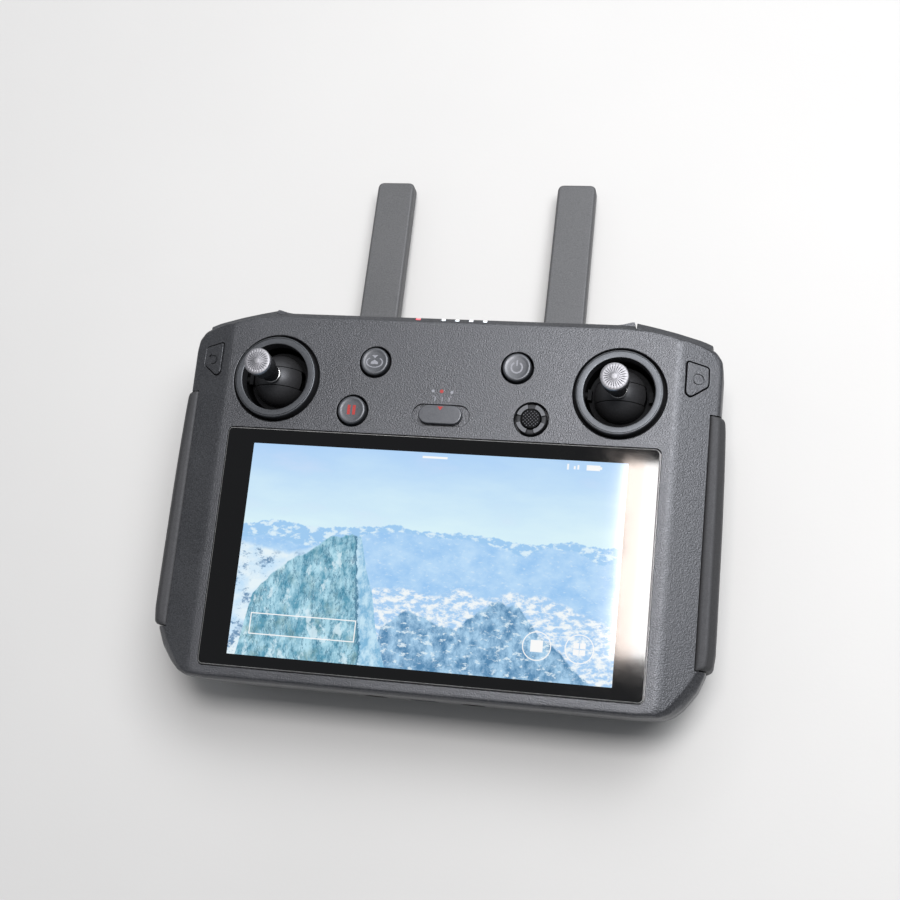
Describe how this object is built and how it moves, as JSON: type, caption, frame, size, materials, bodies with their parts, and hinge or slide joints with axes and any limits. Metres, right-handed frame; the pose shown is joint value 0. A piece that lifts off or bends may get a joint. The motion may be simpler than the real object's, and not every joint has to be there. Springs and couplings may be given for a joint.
{
  "type": "radio transmitter controller",
  "caption": "Handheld radio transmitter with a touch screen, self-centring thumb sticks, a mode switch, shoulder keys and dials, and antennas that fold behind the casing",
  "frame": {"origin": "centre of the bounding box in X and Y, on the plane that the two rear grips rest on", "axes": "+Z out of the screen, +Y from the bottom edge towards the antenna tips, +X to the user's right; the unit lies on its back with antennas upright in line with the casing"},
  "size_m": [0.1806, 0.1829, 0.06],
  "materials": {
    "shell_plastic": "fine spark-eroded grain, dark charcoal, satin",
    "antenna_plastic": "smooth moulded charcoal, satin",
    "grip_rubber": "soft-touch elastomer, smooth matt",
    "button_plastic": "satin button plastic with printed or sunk symbols",
    "soft_black": "matt black rubber and moulded nylon",
    "gimbal_plastic": "polished black acetal",
    "ring_plastic": "satin grey trim ring with turned edge",
    "screen_glass": "polished black-bordered cover glass, opaque as modelled",
    "display": "lit display picture",
    "frame_metal": "die-cast, bead-blasted",
    "bright_steel": "plated steel",
    "cap_aluminium": "machined crown and knurled flank",
    "circuit_board": "solder-masked laminate",
    "cell_wrap": "shrink-wrapped steel can",
    "lamp_plastic": "clear diffusing light pipe",
    "screw_steel": "black oxide",
    "brass": "knurled insert"
  },
  "bodies": {
    "housing": {"battery_cell_left": "cell_wrap", "battery_cell_right": "cell_wrap", "bracket_insert_left": "brass", "bracket_insert_right": "brass", "card_slot": "bright_steel", "fan_housing": "soft_black", "front_shell": "shell_plastic", "gimbal_cup_left": "gimbal_plastic", "gimbal_cup_right": "gimbal_plastic", "gimbal_ring_left": "ring_plastic", "gimbal_ring_right": "ring_plastic", "grip_pad_left": "grip_rubber", "grip_pad_right": "grip_rubber", "hdmi_port": "bright_steel", "heat_sink": "frame_metal", "hinge_pin_left": "bright_steel", "hinge_pin_right": "bright_steel", "lcd_panel": "display", "light_guide": "lamp_plastic", "main_board": "circuit_board", "rear_screw_1": "screw_steel", "rear_screw_2": "screw_steel", "rear_screw_3": "screw_steel", "rear_screw_4": "screw_steel", "rear_screw_5": "screw_steel", "rear_screw_6": "screw_steel", "rear_shell": "shell_plastic", "screen_frame": "frame_metal", "screen_gasket": "soft_black", "screen_glass": "screen_glass", "speaker": "soft_black", "stick_tray": "soft_black", "usb_a_port": "bright_steel", "usb_c_port": "bright_steel"},
    "antenna_left_body": {"antenna_left": "antenna_plastic"},
    "antenna_right_body": {"antenna_right": "antenna_plastic"},
    "yoke_left": {"gimbal_yoke_left": "gimbal_plastic"},
    "yoke_right": {"gimbal_yoke_right": "gimbal_plastic"},
    "stick_left": {"stick_slider_left": "gimbal_plastic", "stick_stem_left": "bright_steel", "stick_cap_left": "cap_aluminium"},
    "stick_right": {"stick_slider_right": "gimbal_plastic", "stick_stem_right": "bright_steel", "stick_cap_right": "cap_aluminium"},
    "home": {"home_button": "button_plastic"},
    "pause": {"pause_button": "button_plastic"},
    "power": {"power_button": "button_plastic"},
    "back": {"back_button": "button_plastic"},
    "confirm": {"confirm_button": "button_plastic"},
    "mode": {"mode_switch": "button_plastic"},
    "five_way_tilt_body": {"five_way_cradle": "gimbal_plastic"},
    "five_way_roll_body": {"five_way_rocker": "button_plastic"},
    "five_way_push_body": {"five_way_cap": "button_plastic"},
    "record": {"record_key": "button_plastic"},
    "shutter": {"shutter_key": "button_plastic"},
    "dial_left": {"tilt_dial": "soft_black"},
    "dial_right": {"settings_dial": "soft_black"},
    "rear_left": {"rear_button_left": "button_plastic"},
    "rear_right": {"rear_button_right": "button_plastic"},
    "fan": {"fan_rotor": "gimbal_plastic"}
  },
  "joints": [
    {"name": "antenna_left_fold", "type": "hinge", "parent": "housing", "child": "antenna_left_body", "pos_m": [-0.0327, 0.02413, 0.009], "axis": [-1, 0, 0], "range_deg": [-4, 176]},
    {"name": "antenna_right_fold", "type": "hinge", "parent": "housing", "child": "antenna_right_body", "pos_m": [0.0327, 0.02413, 0.009], "axis": [-1, 0, 0], "range_deg": [-4, 176]},
    {"name": "stick_left_pitch", "type": "hinge", "parent": "housing", "child": "yoke_left", "pos_m": [-0.0564, 0.00768, 0.0355], "axis": [1, 0, 0], "range_deg": [-22, 22], "stiffness_Nm_per_rad": 0.02},
    {"name": "stick_left_roll", "type": "hinge", "parent": "yoke_left", "child": "stick_left", "pos_m": [-0.0564, 0.00768, 0.0355], "axis": [0, 1, 0], "range_deg": [-22, 22], "stiffness_Nm_per_rad": 0.02},
    {"name": "stick_right_pitch", "type": "hinge", "parent": "housing", "child": "yoke_right", "pos_m": [0.0564, 0.00768, 0.0355], "axis": [1, 0, 0], "range_deg": [-22, 22], "stiffness_Nm_per_rad": 0.02},
    {"name": "stick_right_roll", "type": "hinge", "parent": "yoke_right", "child": "stick_right", "pos_m": [0.0564, 0.00768, 0.0355], "axis": [0, 1, 0], "range_deg": [-22, 22], "stiffness_Nm_per_rad": 0.02},
    {"name": "home_press", "type": "slide", "parent": "housing", "child": "home", "axis": [0, 0, -1], "range_m": [0, 0.0006], "stiffness_N_per_m": 800},
    {"name": "pause_press", "type": "slide", "parent": "housing", "child": "pause", "axis": [0, 0, -1], "range_m": [0, 0.0006], "stiffness_N_per_m": 800},
    {"name": "power_press", "type": "slide", "parent": "housing", "child": "power", "axis": [0, 0, -1], "range_m": [0, 0.0006], "stiffness_N_per_m": 800},
    {"name": "back_press", "type": "slide", "parent": "housing", "child": "back", "axis": [0.3584, 0, -0.9336], "range_m": [0, 0.0006], "stiffness_N_per_m": 800},
    {"name": "confirm_press", "type": "slide", "parent": "housing", "child": "confirm", "axis": [-0.3584, 0, -0.9336], "range_m": [0, 0.0006], "stiffness_N_per_m": 800},
    {"name": "mode_slide", "type": "slide", "parent": "housing", "child": "mode", "axis": [1, 0, 0], "range_m": [-0.0022, 0.0022]},
    {"name": "five_way_tilt", "type": "hinge", "parent": "housing", "child": "five_way_tilt_body", "pos_m": [0.0293, -0.00207, 0.036], "axis": [1, 0, 0], "range_deg": [-4, 4], "stiffness_Nm_per_rad": 0.3},
    {"name": "five_way_roll", "type": "hinge", "parent": "five_way_tilt_body", "child": "five_way_roll_body", "pos_m": [0.0293, -0.00207, 0.036], "axis": [0, 1, 0], "range_deg": [-4, 4], "stiffness_Nm_per_rad": 0.3},
    {"name": "five_way_press", "type": "slide", "parent": "five_way_roll_body", "child": "five_way_push_body", "axis": [0, 0, -1], "range_m": [0, 0.0005], "stiffness_N_per_m": 900},
    {"name": "record_press", "type": "slide", "parent": "housing", "child": "record", "axis": [0.309, -0.9511, 0], "range_m": [0, 0.001], "stiffness_N_per_m": 700},
    {"name": "shutter_press", "type": "slide", "parent": "housing", "child": "shutter", "axis": [-0.309, -0.9511, 0], "range_m": [0, 0.001], "stiffness_N_per_m": 700},
    {"name": "tilt_dial_turn", "type": "hinge", "parent": "housing", "child": "dial_left", "pos_m": [-0.069, 0.02153, 0.0198], "axis": [0, 0, 1], "range_deg": [-25, 25], "stiffness_Nm_per_rad": 0.02},
    {"name": "settings_dial_turn", "type": "hinge", "parent": "housing", "child": "dial_right", "pos_m": [0.069, 0.02153, 0.0198], "axis": [0, 0, 1], "continuous": true},
    {"name": "rear_left_press", "type": "slide", "parent": "housing", "child": "rear_left", "axis": [0, 0, 1], "range_m": [0, 0.0008], "stiffness_N_per_m": 700},
    {"name": "rear_right_press", "type": "slide", "parent": "housing", "child": "rear_right", "axis": [0, 0, 1], "range_m": [0, 0.0008], "stiffness_N_per_m": 700},
    {"name": "fan_spin", "type": "hinge", "parent": "housing", "child": "fan", "pos_m": [0, -0.03687, 0.0198], "axis": [0, 0, 1], "continuous": true}
  ]
}
